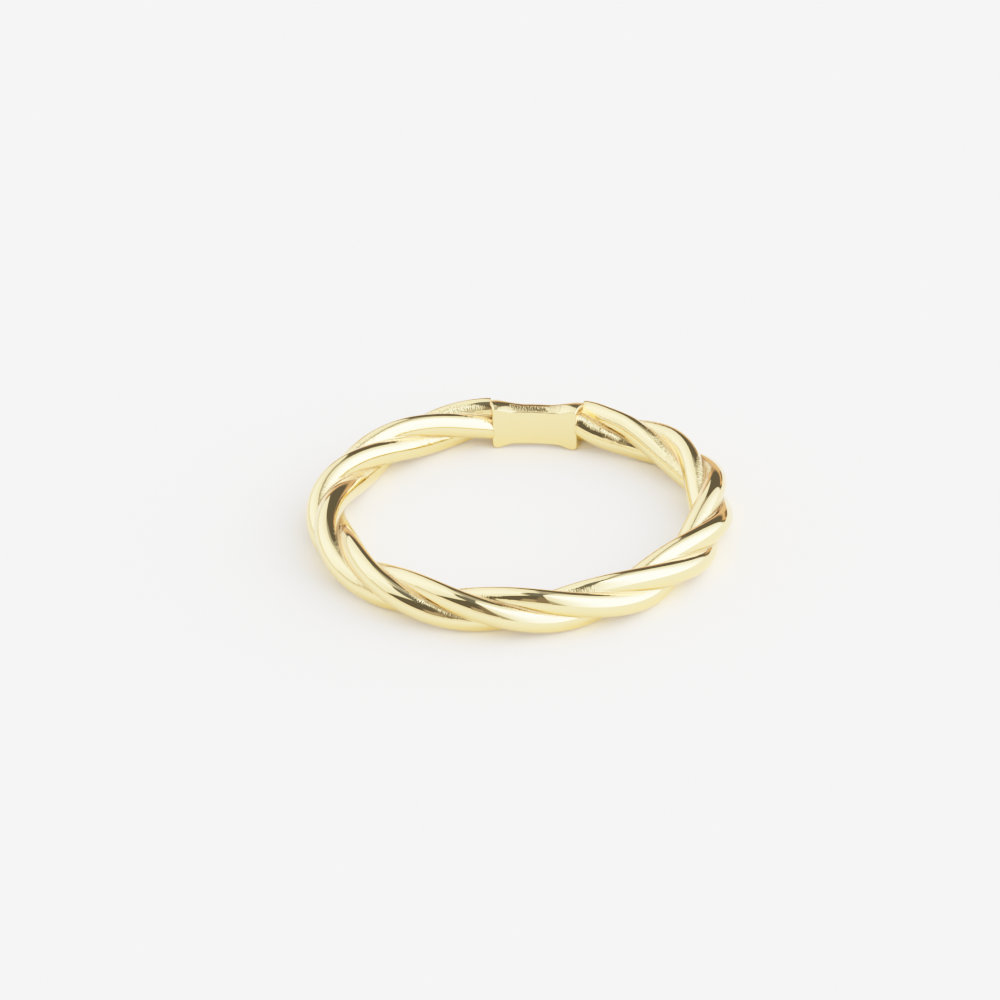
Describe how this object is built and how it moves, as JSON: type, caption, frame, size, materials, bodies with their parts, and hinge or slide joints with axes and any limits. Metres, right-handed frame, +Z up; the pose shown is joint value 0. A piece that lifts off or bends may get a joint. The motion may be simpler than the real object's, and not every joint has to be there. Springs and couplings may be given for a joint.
{
  "type": "rope twist finger ring",
  "caption": "Slim finger ring cast in one piece: round strands laid together as a rope, closed at the back by a plain waisted plate.",
  "frame": {"origin": "on the axis of the finger hole, in the plane that the ring lies on when it is laid on its side", "axes": "+Z up, along the axis of the finger hole; +Y from the axis towards the middle of the back plate"},
  "size_m": [0.0221, 0.0218, 0.0025],
  "materials": {
    "gold": "pale yellow gold, bright polished on the strands, left rough from casting in the grooves"
  },
  "bodies": {
    "root": {"ring": "gold"}
  },
  "joints": []
}
